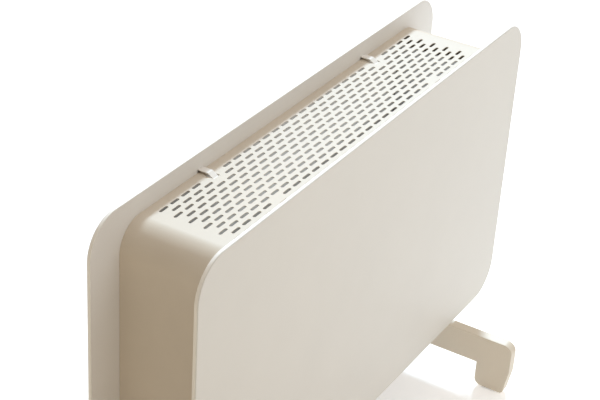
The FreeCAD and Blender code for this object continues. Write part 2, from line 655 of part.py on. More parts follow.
def elementCarriers():
    """At each end a ceramic block holds both cores, and a steel bracket carries the block."""
    for side, left in (("left", True), ("right", False)):
        name = side.title()
        low = "-bracketX" if left else "insulatorX"
        block = box(name + "Block", (low, "-insulatorWide / 2", "elementZ - insulatorTall / 2"),
                    ("insulatorThick", "insulatorWide", "insulatorTall"))
        finish(carve(name + "Insulator", block,
                     *coreWindows(name + "BlockWindow", low, "insulatorThick", "coreGap")),
               side + "_end_insulator")
        low = "-bracketX - bracketSheet" if left else "bracketX"
        plate = box(name + "BracketPlate", (low, "-shieldFace", "baseTop"),
                    ("bracketSheet", "2 * shieldFace", "bracketTall"))
        step = box(name + "BracketFoot", ("-bracketX - bracketSheet" if left else "bracketX - bracketFoot",
                                          "-shieldFace", "baseTop"),
                   ("bracketFoot + bracketSheet", "2 * shieldFace", "bracketSheet"))
        tools = coreWindows(name + "BracketWindow", low + " - 1", "bracketSheet + 2", "bracketWindow")
        tools += drills(name + "BracketHole", chassisSpots(), "-Z", "bracketSheet", "screwHole")
        finish(carve(name + "Bracket", join(name + "BracketSheet", plate, step), *tools),
               side + "_element_bracket")


def heatShields():
    """Bright sheets between the elements and the panels, standing on feet turned inwards."""
    for side, front in (("front", True), ("rear", False)):
        name = side.title()
        run = "bracketX - bracketFoot - lapGap"
        wall = box(name + "ShieldWall", ("-bracketX - bracketSheet",
                                         "-shieldFace - shieldSheet" if front else "shieldFace", "baseTop"),
                   ("2 * (bracketX + bracketSheet)", "shieldSheet", "shieldTall"))
        step = box(name + "ShieldFoot", ("-(%s)" % run,
                                         "-shieldFace - shieldSheet" if front else "shieldFace - shieldFoot",
                                         "baseTop"),
                   ("2 * (%s)" % run, "shieldFoot + shieldSheet", "shieldSheet"))
        finish(join(name + "Shield", wall, step), side + "_heat_shield")


def thermalCutout():
    face = "bracketX + bracketSheet"
    centreZ = "baseTop + bracketTall - cutoutDrop"
    ears = box("CutoutEars", (face, "-cutoutEarWide / 2", centreZ + " - cutoutEarTall / 2"),
               ("cutoutEarThick", "cutoutEarWide", "cutoutEarTall"))
    can = rod("CutoutCan", (face, "0", centreZ), "cutoutRadius", "cutoutDeep", "+X")
    finish(join("CutoutBody", ears, can), "thermal_cutout")


# ---------------------------------------------------------------- control chamber

def partition():
    wide = "2 * (flangeFace - lapGap)"
    plate = box("PartitionPlate", ("partitionX", "-flangeFace + lapGap", "baseTop"),
                ("caseSheet", wide, "caseHigh - caseSheet - baseTop - partitionDrop"))
    step = box("PartitionFoot", ("partitionX", "-flangeFace + lapGap", "baseTop"),
               ("caseSheet + partitionFoot", wide, "bracketSheet"))
    tools = [rod("PartitionPort", ("partitionX - 1", "0", "grommetZ"), "grommetRadius + fitGap",
                 "caseSheet + 2", "+X")]
    tools += drills("PartitionHole", casingSpots(), "+Z", "2 * caseSheet + 2 * bracketSheet", "screwRadius")
    tools += drills("PartitionBlockHole", blockSpots(), "-X", "blockDeep + caseSheet + 1", "screwRadius")
    finish(carve("Partition", join("PartitionSheet", plate, step), *tools), "control_partition")
    ring = rod("GrommetRing", ("partitionX - grommetThick / 2", "0", "grommetZ"), "grommetRadius",
               "grommetThick + caseSheet", "+X")
    bore = rod("GrommetBore", ("partitionX - grommetThick", "0", "grommetZ"), "grommetBore",
               "3 * grommetThick", "+X")
    finish(carve("Grommet", ring, bore), "wire_grommet")


def blockSpots():
    return [("chamberX + blockDeep", y, "blockZ + blockTall / 2")
            for y in ("-blockWide * 0.35", "blockWide * 0.35")]


def terminalBlock():
    """Screw terminals for the mains lead, on the partition: four wells open towards the end wall."""
    block = box("BlockBody", ("chamberX", "-blockWide / 2", "blockZ"),
                ("blockDeep", "blockWide", "blockTall"))
    wells = []
    screws = []
    for index in (-1, 0, 1):
        centre = "%d * blockWide / 5" % index
        spot = ("chamberX + blockDeep / 2", centre, "blockZ + blockTall / 2")
        wells.append(rod("BlockWell%d" % (index + 1), spot, "screwRadius + fitGap", "blockDeep", "+X"))
        screws.append(rod("BlockScrew%d" % (index + 1), spot, "screwRadius", "blockDeep / 2 - 1", "+X"))
    wells += drills("BlockHole", blockSpots(), "-X", "blockDeep", "screwHole")
    finish(carve("TerminalBlock", block, *wells), "terminal_block")
    finish(gather("TerminalScrews", screws), "terminal_screws", group=True)


# ---------------------------------------------------------------- controls

def fasciaSpots():
    edge = "fasciaCorner"
    return [("fasciaOut", "%s(fasciaWide / 2 - %s)" % (sign, edge), z) for sign in ("-", "+")
            for z in ("fasciaTop - " + edge, "fasciaTop - fasciaTall + " + edge)]


def fascia():
    plate = slab("FasciaPlate", "X", ("caseHalf", "-fasciaWide / 2", "fasciaTop - fasciaTall"),
                 ("fasciaThick", "fasciaWide", "fasciaTall"), "fasciaCorner")
    tools = [rod("FasciaBushHole", ("caseHalf - 1", "0", "knobZ"), "bushRadius + fitGap",
                 "fasciaThick + 2", "+X"),
             rod("FasciaLampHole", ("caseHalf - 1", "0", "lampZ"), "lensRadius + fitGap",
                 "fasciaThick + 2", "+X")]
    for side in ("-", "+"):
        tools.append(box("FasciaRockerHole" + ("Front" if side == "-" else "Rear"),
                         ("caseHalf - 1", side + "rockerPitch / 2 - housingWide / 2 - fitGap",
                          "rockerZ - housingTall / 2 - fitGap"),
                         ("fasciaThick + 2", "housingWide + 2 * fitGap", "housingTall + 2 * fitGap")))
    tools += drills("FasciaScrewHole", fasciaSpots(), "-X", "fasciaThick", "screwHole")
    finish(carve("Fascia", plate, *tools), "control_fascia")


def thermostat():
    """The dial's shaft turns in the thermostat's bush, which a nut clamps through the end wall."""
    case = box("ThermostatCase", ("wallIn - thermostatDeep", "-thermostatWide / 2",
                                  "knobZ - thermostatWide / 2"),
               ("thermostatDeep", "thermostatWide", "thermostatWide"))
    bush = rod("ThermostatBush", ("wallIn - 1", "0", "knobZ"), "bushRadius",
               "1 + caseSheet + fasciaThick + bushOut", "+X")
    bore = rod("ThermostatBore", ("wallIn - shaftInside - fitGap", "0", "knobZ"), "shaftRadius + shaftGap",
               "shaftInside + caseSheet + fasciaThick + bushOut + 2", "+X")
    finish(carve("Thermostat", join("ThermostatBody", case, bush), bore), "thermostat_body")
    nut = doc.addObject("Part::Prism", "ThermostatNutBlank")
    nut.Polygon = 6
    nut.setExpression("Circumradius", bound("nutRadius"))
    nut.setExpression("Height", bound("nutTall"))
    nut.Placement = FreeCAD.Placement(Vector(), turnedTo["+X"])
    put(nut, ("fasciaOut", "0", "knobZ"))
    hole = rod("ThermostatNutHole", ("fasciaOut - 1", "0", "knobZ"), "bushRadius", "nutTall + 2", "+X")
    finish(carve("ThermostatNut", nut, hole), "thermostat_nut")
    shaft = rod("DialShaft", ("wallIn - shaftInside", "0", "knobZ"), "shaftRadius",
                "shaftInside + caseSheet + fasciaThick + knobTall - knobSkirt", "+X")
    finish(shaft, "thermostat_shaft")


def knob():
    start = "fasciaOut + knobClear"
    skirt = rod("KnobSkirt", (start, "0", "knobZ"), "knobRadius", "knobSkirt", "+X")
    grip = doc.addObject("Part::Cone", "KnobGrip")
    grip.setExpression("Radius1", bound("knobGripRadius"))
    grip.setExpression("Radius2", bound("knobGripRadius - 1"))
    grip.setExpression("Height", bound("knobTall - knobClear"))
    grip.Placement = FreeCAD.Placement(Vector(), turnedTo["+X"])
    put(grip, (start, "0", "knobZ"))
    ridge = box("KnobRidge", (start + " + knobSkirt", "-knobRidge / 2", "knobZ"),
                ("knobTall - knobClear - knobSkirt + 1", "knobRidge", "knobGripRadius + 1"))
    room = rod("KnobNutRoom", (start + " - 1", "0", "knobZ"), "nutRadius + nutRoom",
               "bushOut + 1.5", "+X")
    bore = rod("KnobBore", (start + " - 1", "0", "knobZ"), "shaftRadius",
               "knobTall - knobSkirt - knobClear + 1", "+X")
    tool = join("KnobTool", room, bore)
    finish(carve("Knob", join("KnobBody", skirt, grip, ridge), tool), "thermostat_knob")


def rockerSwitches():
    """Each rocker is a slice of a cylinder about its trunnions, so its gap holds at every angle."""
    for side, sign in (("front", "-"), ("rear", "+")):
        name = side.title()
        centre = sign + "rockerPitch / 2"
        case = box(name + "HousingCase", ("fasciaOut - housingDeep", centre + " - housingWide / 2",
                                          "rockerZ - housingTall / 2"),
                   ("housingDeep", "housingWide", "housingTall"))
        bezel = box(name + "HousingBezel", ("fasciaOut", centre + " - housingWide / 2 - bezelEdge",
                                            "rockerZ - housingTall / 2 - bezelEdge"),
                    ("bezelThick", "housingWide + 2 * bezelEdge", "housingTall + 2 * bezelEdge"))
        well = rod(name + "HousingWell", ("pivotX", centre + " - rockerWide / 2 - rockerGap", "rockerZ"),
                   "rockerRadius + rockerGap", "rockerWide + 2 * rockerGap", "+Y")
        mouth = box(name + "HousingMouth", ("pivotX", centre + " - rockerWide / 2 - rockerGap",
                                            "rockerZ - rockerRadius - rockerGap"),
                    ("rockerRadius", "rockerWide + 2 * rockerGap", "2 * (rockerRadius + rockerGap)"))
        ends = rod(name + "HousingPivot", ("pivotX", centre + " - rockerWide / 2 - trunnionOut - fitGap",
                                           "rockerZ"),
                   "trunnionRadius + trunnionGap", "rockerWide + 2 * (trunnionOut + fitGap)", "+Y")
        tool = join(name + "HousingTool", well, mouth, ends)
        finish(carve(name + "Housing", join(name + "HousingBody", case, bezel), tool),
               "switch_housing_" + side)
        finish(rocker(name, centre), "switch_rocker_" + side)


def rocker(name, centre):
    """Two faces meet in a shallow valley; at rest the lower half is pressed in, which is off."""
    slice_ = rod(name + "RockerSlice", ("pivotX", centre + " - rockerWide / 2", "rockerZ"),
                 "rockerRadius", "rockerWide", "+Y")
    pins = rod(name + "RockerPins", ("pivotX", centre + " - rockerWide / 2 - trunnionOut", "rockerZ"),
               "trunnionRadius", "rockerWide + 2 * trunnionOut", "+Y")
    reach = "2 * rockerRadius"
    valleyX = "pivotX + rockerFace * cos(rockerAngle * 1deg)"
    valleyZ = "rockerZ - rockerFace * sin(rockerAngle * 1deg)"
    tools = []
    for half, tilt, low in (("Low", 0, valleyZ + " - " + reach), ("High", 2, valleyZ)):
        face = box(name + "RockerFace" + half, (valleyX, centre + " - rockerWide / 2 - 1", low),
                   (reach, "rockerWide + 2", reach))
        turn = FreeCAD.Rotation(Vector(0, 1, 0), tilt * measure("rockerAngle"))
        face.Placement = FreeCAD.Placement(face.Placement.Base, turn)
        tools.append(face)
    back = box(name + "RockerBack",
               ("pivotX - 2 * rockerRadius - rockerTail", centre + " - rockerWide / 2 - 1",
                "rockerZ - rockerRadius"), (reach, "rockerWide + 2", reach))
    body = carve(name + "RockerBody", slice_, join(name + "RockerTool", back, *tools))
    return join(name + "Rocker", body, pins)


def pilotLight():
    rim = rod("LensRim", ("fasciaOut", "0", "lampZ"), "lensRim", "lensOut", "+X")
    stem = rod("LensStem", ("wallIn - 2", "0", "lampZ"), "lensRadius", "caseSheet + fasciaThick + 2", "+X")
    finish(join("PilotLens", rim, stem), "pilot_lens")
    lamp = rod("PilotLamp", ("wallIn - 2 - lampDeep", "0", "lampZ"), "lensRadius - 1", "lampDeep", "+X")
    finish(lamp, "pilot_lamp")


def gland():
    """A bush with a flange outside and a nut inside; the mains lead enters through its bore."""
    stem = rod("GlandStem", ("wallIn - glandInside", "0", "glandZ"), "glandRadius",
               "glandInside + caseSheet", "+X")
    flange = rod("GlandFlange", ("caseHalf", "0", "glandZ"), "glandFlange", "glandFlangeThick", "+X")
    bore = rod("GlandBore", ("wallIn - glandInside - 1", "0", "glandZ"), "glandBore",
               "glandInside + caseSheet + glandFlangeThick + 2", "+X")
    finish(carve("Gland", join("GlandBody", stem, flange), bore), "cord_gland")
    blank = doc.addObject("Part::Prism", "GlandNutBlank")
    blank.Polygon = 6
    blank.setExpression("Circumradius", bound("glandNutRadius"))
    blank.setExpression("Height", bound("glandNutTall"))
    blank.Placement = FreeCAD.Placement(Vector(), turnedTo["+X"])
    put(blank, ("wallIn - glandNutTall", "0", "glandZ"))
    hole = rod("GlandNutHole", ("wallIn - glandNutTall - 1", "0", "glandZ"), "glandRadius",
               "glandNutTall + 2", "+X")
    finish(carve("GlandNut", blank, hole), "gland_nut")


# ---------------------------------------------------------------- tilt switch

def tiltSwitch():
    """A pendulum hangs from a pin between two plates; a micro-switch on top feels it swing."""
    low = "tiltOffset - tiltWide / 2"
    deep = "2 * tiltPlate + tiltRoom"
    block = box("TiltBlock", ("chamberX", low, "tiltLow"), (deep, "tiltWide", "tiltTall"))
    room = box("TiltRoom", ("chamberX + tiltPlate", low + " - 1", "tiltLow - 1"),
               ("tiltRoom", "tiltWide + 2", "tiltTall - tiltPlate + 1"))
    hole = rod("TiltPinHole", ("chamberX - 1", "tiltOffset", "tiltPinZ"), "tiltPinRadius",
               deep + " + 2", "+X")
    finish(carve("TiltFrame", block, join("TiltTool", room, hole)), "tilt_switch_frame")
    finish(rod("TiltPin", ("chamberX", "tiltOffset", "tiltPinZ"), "tiltPinRadius", deep, "+X"),
           "tilt_switch_pin")
    start = "chamberX + tiltPlate + (tiltRoom - pendulumThick) / 2"
    eye = rod("PendulumEye", (start, "tiltOffset", "tiltPinZ"), "pendulumEye", "pendulumThick", "+X")
    arm = box("PendulumArm", (start, "tiltOffset - tiltPinRadius", "tiltPinZ - pendulumArm"),
              ("pendulumThick", "2 * tiltPinRadius", "pendulumArm"))
    weight = rod("PendulumWeight", (start, "tiltOffset", "tiltPinZ - pendulumArm"), "pendulumWeight",
                 "pendulumThick", "+X")
    bore = rod("PendulumBore", (start + " - 1", "tiltOffset", "tiltPinZ"), "tiltPinRadius + tiltPinGap",
               "pendulumThick + 2", "+X")
    finish(carve("Pendulum", join("PendulumBody", eye, arm, weight), bore), "tilt_pendulum")
    finish(box("MicroSwitch", ("chamberX", low + " + tiltPlate", "tiltLow + tiltTall"),
               (deep, "tiltWide - 2 * tiltPlate", "microTall")), "tilt_micro_switch")


# ---------------------------------------------------------------- wiring

def tube(name, route, radius):
    """A wire or capillary of straight runs joined by arcs as large as its runs allow."""
    spots = [Vector(*[measure(text) for text in spot]) for spot in route]
    edges = []
    start = spots[0]
    for before, corner, after in zip(spots, spots[1:], spots[2:]):
        wayIn, wayOut = corner - before, after - corner
        shorter = min(wayIn.Length, wayOut.Length)
        turn = wayIn.getAngle(wayOut)
        setback = 0.45 * shorter
        wayIn, wayOut = wayIn.normalize(), wayOut.normalize()
        first, last = corner - wayIn * setback, corner + wayOut * setback
        bisector = (wayOut - wayIn).normalize()
        bend = setback / math.tan(turn / 2)
        middle = corner + bisector * (bend / math.cos(turn / 2) - bend)
        edges.append(Part.LineSegment(start, first).toShape())
        edges.append(Part.Arc(first, middle, last).toShape())
        start = last
    edges.append(Part.LineSegment(start, spots[-1]).toShape())
    path = Part.Wire(edges)
    ring = Part.Wire(Part.makeCircle(radius, spots[0], spots[1] - spots[0]))
    pipe = path.makePipeShell([ring], True, False)
    expected = math.pi * radius ** 2 * path.Length
    if abs(pipe.Volume - expected) > 0.01 * expected:
        raise RuntimeError("%s: volume %.1f, expected %.1f" % (name, pipe.Volume, expected))
    return shaped(name, pipe)


def wiring():
    thick = measure("wireRadius")
    high = "elementZ + coreTall / 4 + tabThick / 2"
    tabEnd = "coreHalf + tabLength / 2"
    blockTop = "blockZ + blockTall"
    housingBack = "fasciaOut - housingDeep"
    housingLow = "rockerZ - housingTall / 2"
    bend, mouth = "(%s - wireBend)" % housingLow, "(grommetZ + 12)"
    between = "%s + (%s - %s) * 7 / 15" % (mouth, bend, mouth)    # a little below half way
    finish(tube("LiveWire", [("chamberX + 8", "-14", blockTop), ("chamberX + 8", "-14", blockTop + " + 30"),
                             ("chamberX + 11", "0", blockTop + " + 75"),
                             ("wallIn - thermostatDeep + 3", "9", "knobZ - thermostatWide / 2 - 40"),
                             ("wallIn - thermostatDeep + 3", "9", "knobZ - thermostatWide / 2")], thick),
           "live_wire")
    for side, sign in (("front", "-"), ("rear", "+")):
        passY = sign + "3.4"
        finish(tube(side.title() + "Wire",
                    [(housingBack + " + 5", sign + "rockerPitch / 2", housingLow),
                     (housingBack + " + 5", sign + "rockerPitch / 2", housingLow + " - 22"),
                     ("chamberX + 24", sign + "(blockWide / 2 + 5)", bend),
                     ("chamberX + 24", sign + "(blockWide / 2 + 3)", between),
                     ("chamberX + 14", passY, mouth), ("chamberX + 6", passY, "grommetZ + 1"),
                     ("partitionX - 12", passY, "grommetZ"),
                     (tabEnd + " + 6", sign + "elementOffset * 0.7", "(grommetZ + elementZ) / 2 + 18"),
                     (tabEnd, sign + "elementOffset", high + " + 11"),
                     (tabEnd, sign + "elementOffset", high)], thick), side + "_element_wire")


def capillary():
    """A thin copper tube from the thermostat's case down to its sensing bulb."""
    bulbTop = "blockZ + blockTall + bulbRise + bulbLength"
    drop = [("chamberX + 5", "10", bulbTop + above) for above in (" + 28", "")]
    line = tube("CapillaryLine", [("wallIn - thermostatDeep", "8", "knobZ"),
                                  ("wallIn - thermostatDeep - 8", "8", "knobZ")] + drop,
                measure("capillaryRadius"))
    bulb = rod("CapillaryBulb", drop[-1], "bulbRadius", "bulbLength", "-Z")
    finish(join("Capillary", line, bulb), "thermostat_capillary")


# ---------------------------------------------------------------- fasteners

def fasteners():
    screwGroup("foot_screws", footScrewSpots("-") + footScrewSpots("+"), "+Z",
               "baseTop + nutPlateThick + screwPast - footUnder - footRoof",
               "longScrewRadius", "longScrewHead")
    screwGroup("casing_screws", casingSpots(), "+Z", "2 * caseSheet + bracketSheet + screwPast")
    screwGroup("chassis_screws", chassisSpots(), "-Z", "bracketSheet + caseSheet + screwPast")
    screwGroup("fascia_screws", fasciaSpots(), "-X", "fasciaThick + caseSheet + screwPast")
    screwGroup("block_screws", blockSpots(), "-X", "blockDeep + caseSheet + 1")
    made = []
    for mirror, along in ((True, "-Y"), (False, "+Y")):
        for index, spot in enumerate(panelScrewSpots(mirror)):
            made.append(screw("PanelScrew%s%d" % ("Front" if mirror else "Rear", index), spot, along,
                              "caseSheet + linerThick + 0.8"))
    finish(gather("PanelScrews", made), "panel_screws", group=True)


# ---------------------------------------------------------------- build, check and write

panelPair("front", True)
panelPair("rear", False)
casing()
baseTray()
hooks()
elementParts()
elementCarriers()
heatShields()
thermalCutout()
partition()
terminalBlock()
fascia()
thermostat()
knob()
rockerSwitches()
pilotLight()
gland()
tiltSwitch()
wiring()
capillary()
for side, across in (("left", "-"), ("right", "+")):
    foot(side, across)
footPads()
nutPlates()
fasteners()
doc.recompute()

for item in doc.Objects:
    if "Invalid" in item.State or "Error" in item.State:
        raise RuntimeError("%s failed: %s" % (item.Label, item.State))

for item in pieces:
    if item.Shape.isNull() or not item.Shape.isValid():
        raise RuntimeError("%s has no valid shape" % item.Label)
    count = len(item.Shape.Solids)
    if count < 1 or (count > 1 and item.Label not in groups):
        raise RuntimeError("%s holds %d solids" % (item.Label, count))

os.makedirs("parts", exist_ok=True)
for item in pieces:
    item.Shape.exportStep("parts/%s.step" % item.Label)
print("%d sub-parts written" % len(pieces))
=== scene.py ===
import bmesh
import bpy
import json
import math
from mathutils import Matrix, Vector


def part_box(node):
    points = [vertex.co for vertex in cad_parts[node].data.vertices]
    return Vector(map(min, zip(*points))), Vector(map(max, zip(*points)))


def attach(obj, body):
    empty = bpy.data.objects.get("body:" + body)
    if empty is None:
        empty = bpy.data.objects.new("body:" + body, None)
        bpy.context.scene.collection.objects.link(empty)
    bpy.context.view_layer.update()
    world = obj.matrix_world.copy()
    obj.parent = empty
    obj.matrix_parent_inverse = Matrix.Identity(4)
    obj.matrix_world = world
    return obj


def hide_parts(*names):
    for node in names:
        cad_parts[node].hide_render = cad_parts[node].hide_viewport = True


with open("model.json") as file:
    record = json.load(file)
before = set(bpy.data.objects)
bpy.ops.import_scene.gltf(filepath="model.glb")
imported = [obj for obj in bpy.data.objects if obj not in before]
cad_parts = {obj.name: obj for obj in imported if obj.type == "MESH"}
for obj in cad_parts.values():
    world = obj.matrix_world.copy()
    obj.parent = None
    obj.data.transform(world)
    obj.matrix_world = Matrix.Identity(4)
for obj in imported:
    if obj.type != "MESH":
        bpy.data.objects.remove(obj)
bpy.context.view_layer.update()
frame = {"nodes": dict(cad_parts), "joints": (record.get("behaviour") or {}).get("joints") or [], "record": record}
nodes = frame["nodes"]
slotOf = {entry["node"]: entry["material_slot"] for entry in frame["record"]["subparts"]}
bodyOf = {node: body for body, members in frame["record"]["behaviour"]["bodies"].items()
          for node in members}
print("frame loaded:", len(nodes), "nodes")


camera = {"azimuth": -60.43, "elevation": 30.45, "roll": 3.69, "lens": 97.2, "sensor": 36.0,
          "place": (-1.361, -0.736, 1.2626), "reach": 100.0}


def makeCamera():
    azimuth, elevation, roll = (math.radians(camera[key]) for key in ("azimuth", "elevation", "roll"))
    right = Vector((math.cos(azimuth), math.sin(azimuth), 0))
    back = Vector((math.sin(azimuth) * math.cos(elevation), -math.cos(azimuth) * math.cos(elevation),
                   math.sin(elevation)))
    up = back.cross(right)
    across = math.cos(roll) * right + math.sin(roll) * up
    upward = math.cos(roll) * up - math.sin(roll) * right
    turn = Matrix((across, upward, back)).transposed().to_4x4()
    data = bpy.data.cameras.new("camera")
    data.lens = camera["lens"]
    data.sensor_width = camera["sensor"]
    data.clip_end = camera["reach"]
    rig = bpy.data.objects.new("camera", data)
    rig.matrix_world = Matrix.Translation(camera["place"]) @ turn
    bpy.context.collection.objects.link(rig)
    bpy.context.scene.camera = rig
    bpy.context.scene.view_settings.view_transform = "Standard"


class Sock:                             # a socket that adds its own nodes when it is used in an expression
    def __init__(self, tree, out=None):
        self.tree = tree
        self.out = out

    def make(self, kind, settings=None, inputs=None, output=0):
        node = self.tree.nodes.new(kind)
        for name, value in (settings or {}).items():
            if name == "stops":
                ramp = node.color_ramp.elements
                while len(ramp) < len(value):
                    ramp.new(0.5)
                for stop, (place, colour) in zip(ramp, value):
                    stop.position = place
                    stop.color = colour
            else:
                setattr(node, name, value)
        for name, value in (inputs or {}).items():
            if isinstance(value, Sock):
                self.tree.links.new(value.out, node.inputs[name])
            else:
                node.inputs[name].default_value = value
        return Sock(self.tree, node.outputs[output])

    def maths(self, operation, first, second=0.0):
        return self.make("ShaderNodeMath", {"operation": operation}, {0: first, 1: second})

    def mix(self, amount, first, second):
        return self.make("ShaderNodeMix", {"data_type": "RGBA"}, {0: amount, 6: first, 7: second}, 2)

    def clamp(self, low, high):
        return self.maths("MINIMUM", self.maths("MAXIMUM", self, low), high)

    def __add__(self, other):
        return self.maths("ADD", self, other)

    def __sub__(self, other):
        return self.maths("SUBTRACT", self, other)

    def __rsub__(self, other):
        return self.maths("SUBTRACT", other, self)

    def __mul__(self, other):
        return self.maths("MULTIPLY", self, other)

    __radd__ = __add__
    __rmul__ = __mul__


def shaderFor(name, **fixed):
    material = bpy.data.materials.new(name)
    material.use_nodes = True
    shader = material.node_tree.nodes["Principled BSDF"]
    for socket, value in fixed.items():
        shader.inputs[socket.replace("_", " ")].default_value = value
    place = Sock(material.node_tree).make("ShaderNodeTexCoord", output=3)      # Object coordinates
    return material, shader, place


def drive(shader, place, **varying):
    for socket, value in varying.items():
        place.tree.links.new(value.out, shader.inputs[socket.replace("_", " ")])


def noise(place, scale, detail=3.0):
    return place.make("ShaderNodeTexNoise", None,
                      {"Vector": place, "Scale": scale, "Detail": detail, "Roughness": 0.55})


def bump(place, height, strength, distance):
    return place.make("ShaderNodeBump", None,
                      {"Height": height, "Strength": strength, "Distance": distance})


def rgb(colour, factor=1.0):
    return tuple(min(1.0, part * factor) for part in colour) + (1.0,)


sky = {"dusk": (0.12, 0.09, 0.055), "haze": (0.46, 0.37, 0.25), "day": (0.98, 0.965, 0.96),
       "hazeAt": 0.45, "sideways": 0.9, "sidewaysEnd": 0.1, "upwards": 0.8, "level": 0.36}


def makeSky():
    world = bpy.data.worlds.new("studio")
    world.use_nodes = True
    way = Sock(world.node_tree).make("ShaderNodeTexCoord")
    across = way.make("ShaderNodeSeparateXYZ", None, {0: way}, 0)
    height = way.make("ShaderNodeSeparateXYZ", None, {0: way}, 2)
    side = across.clamp(-1, sky["sidewaysEnd"]) * sky["sideways"]                # dim and warm towards -X
    level = (side + height * sky["upwards"] + sky["level"]).clamp(0, 1)
    stops = ((0.0, rgb(sky["dusk"])), (sky["hazeAt"], rgb(sky["haze"])), (1.0, rgb(sky["day"])))
    colour = way.make("ShaderNodeValToRGB", {"stops": stops}, {0: level})
    world.node_tree.links.new(colour.out, world.node_tree.nodes["Background"].inputs["Color"])
    bpy.context.scene.world = world


light = {"sun": 2.6, "sunTint": (0.66, 0.84, 1.0), "sunSpread": 8.0, "sunFrom": (1.1, 0.47, 0.9),
         "fill": 0.085, "fillTint": (0.90, 0.96, 1.0), "fillLong": 0.38, "fillWide": 0.08,
         "fillDrop": 0.11, "fillShift": 0.06}


def makeSun():
    data = bpy.data.lights.new("keyLight", "SUN")
    data.energy = light["sun"]
    data.color = light["sunTint"]
    data.angle = math.radians(light["sunSpread"])
    key = bpy.data.objects.new("keyLight", data)
    key.rotation_euler = Vector(light["sunFrom"]).to_track_quat("Z", "Y").to_euler()
    bpy.context.collection.objects.link(key)


def makeInnerFill():
    data = bpy.data.lights.new("innerFill", "AREA")                    # lifts the dark under the grille
    data.energy = light["fill"]
    data.color = light["fillTint"]
    data.shape = "RECTANGLE"
    data.size = light["fillLong"]
    data.size_y = light["fillWide"]
    fill = bpy.data.objects.new("innerFill", data)
    fill.location = (light["fillShift"], 0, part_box("casing_band")[1].z - light["fillDrop"])
    fill.rotation_euler = (math.pi, 0, 0)
    fill.visible_camera = False
    bpy.context.collection.objects.link(fill)


# the stage floor glows towards +X: painted light, an emission that washes out the heater's shadow there
floorPaper = {"size": 40.0, "shadowLiftGlow": 0.38, "shade": (0.80, 0.70, 0.58), "pale": (0.9, 0.9, 0.9),
              "fade": 1.2, "middle": 0.70}


def makeFloor():
    mesh = bpy.data.meshes.new("studioFloor")
    build = bmesh.new()
    bmesh.ops.create_grid(build, x_segments=1, y_segments=1, size=floorPaper["size"] / 2)
    build.to_mesh(mesh)
    build.free()
    floor = bpy.data.objects.new("studioFloor", mesh)
    bpy.context.collection.objects.link(floor)
    material, shader, place = shaderFor("floorPaper", Roughness=0.9, Specular_IOR_Level=0.1,
                                        Emission_Strength=floorPaper["shadowLiftGlow"])
    across = place.make("ShaderNodeSeparateXYZ", None, {0: place}, 0)
    right = (across * floorPaper["fade"] + floorPaper["middle"]).clamp(0, 1)    # paler and glowing towards +X, darker and warmer towards -X; the glow is painted light that lifts the heater's shadow on the floor
    drive(shader, place, Base_Color=place.mix(right, rgb(floorPaper["shade"]), rgb(floorPaper["pale"])),
          Emission_Color=place.mix(right, rgb((0, 0, 0)), rgb((1, 1, 1))))
    mesh.materials.append(material)


# rim and hook are painted highlights: paler copies of the cream paint where light catches a panel's rim and the
# hooks
paint = {"panel": (0.80, 0.775, 0.725), "casing": (0.71, 0.63, 0.52), "liner": (0.88, 0.865, 0.845),
         "hook": (0.92, 0.89, 0.84), "rim": (1.0, 0.97, 0.91), "patch": 9.0, "patchFrom": 0.25,
         "patchSpan": 0.5, "grain": 1100.0, "fleckFrom": 0.62, "fleckShare": 0.8, "fleckDark": 0.8,
         "rough": 0.42, "patchRough": 0.12, "grainRough": 0.1, "bump": 0.25, "fleckBump": 0.3,
         "depth": 0.0002}


def paintedSheet(name, colour, spread=0.02):
    material, shader, place = shaderFor(name, Coat_Weight=0.0, Specular_IOR_Level=0.4)
    patch = noise(place, paint["patch"], detail=6.0)
    grain = noise(place, paint["grain"], detail=2.0)
    fleck = noise(place, paint["grain"] * 3, detail=1.0)
    drift = (patch - paint["patchFrom"]).clamp(0, paint["patchSpan"]) * (1 / paint["patchSpan"])
    flecks = (fleck - paint["fleckFrom"]).clamp(0, 1) * paint["fleckShare"]
    tone = place.mix(drift, rgb(colour, 1 - spread), rgb(colour, 1 + spread))
    tone = place.mix(flecks, tone, rgb(colour, paint["fleckDark"]))
    rim = place.make("ShaderNodeAttribute", {"attribute_name": "rim"}, None, 2)
    tone = place.mix(rim, tone, rgb(paint["rim"]))                     # painted highlight: paler along a panel's rim
    rough = patch * paint["patchRough"] + grain * paint["grainRough"] + paint["rough"]
    drive(shader, place, Base_Color=tone, Roughness=rough,
          Normal=bump(place, grain + fleck * paint["fleckBump"], paint["bump"], paint["depth"]))
    return material


plastic = {"patch": 22.0, "spread": 0.05, "grain": 1600.0, "bump": 0.15, "depth": 0.0002,
           "roughSpread": 0.12, "glossGrain": 400.0, "glossBump": 0.02}


def mouldedPlastic(name, colour, roughness=0.5, grainScale=plastic["grain"], strength=plastic["bump"]):
    material, shader, place = shaderFor(name)
    patch = noise(place, plastic["patch"])
    grain = noise(place, grainScale, detail=2.0)
    tone = place.mix(patch, rgb(colour, 1 - plastic["spread"]), rgb(colour, 1 + plastic["spread"]))
    rough = grain * plastic["roughSpread"] + (roughness - plastic["roughSpread"] / 2)
    drive(shader, place, Base_Color=tone, Roughness=rough,
          Normal=bump(place, grain, strength, plastic["depth"]))
    return material


def glossPlastic(name, colour, roughness):
    return mouldedPlastic(name, colour, roughness, plastic["glossGrain"], plastic["glossBump"])


metal = {"lines": 90.0, "streak": 14.0, "spangle": 140.0, "dark": 0.88, "pale": 1.08, "lineRough": 0.2,
         "spangleRough": 0.1, "roughLift": 0.12, "bump": 0.08, "depth": 0.0001}


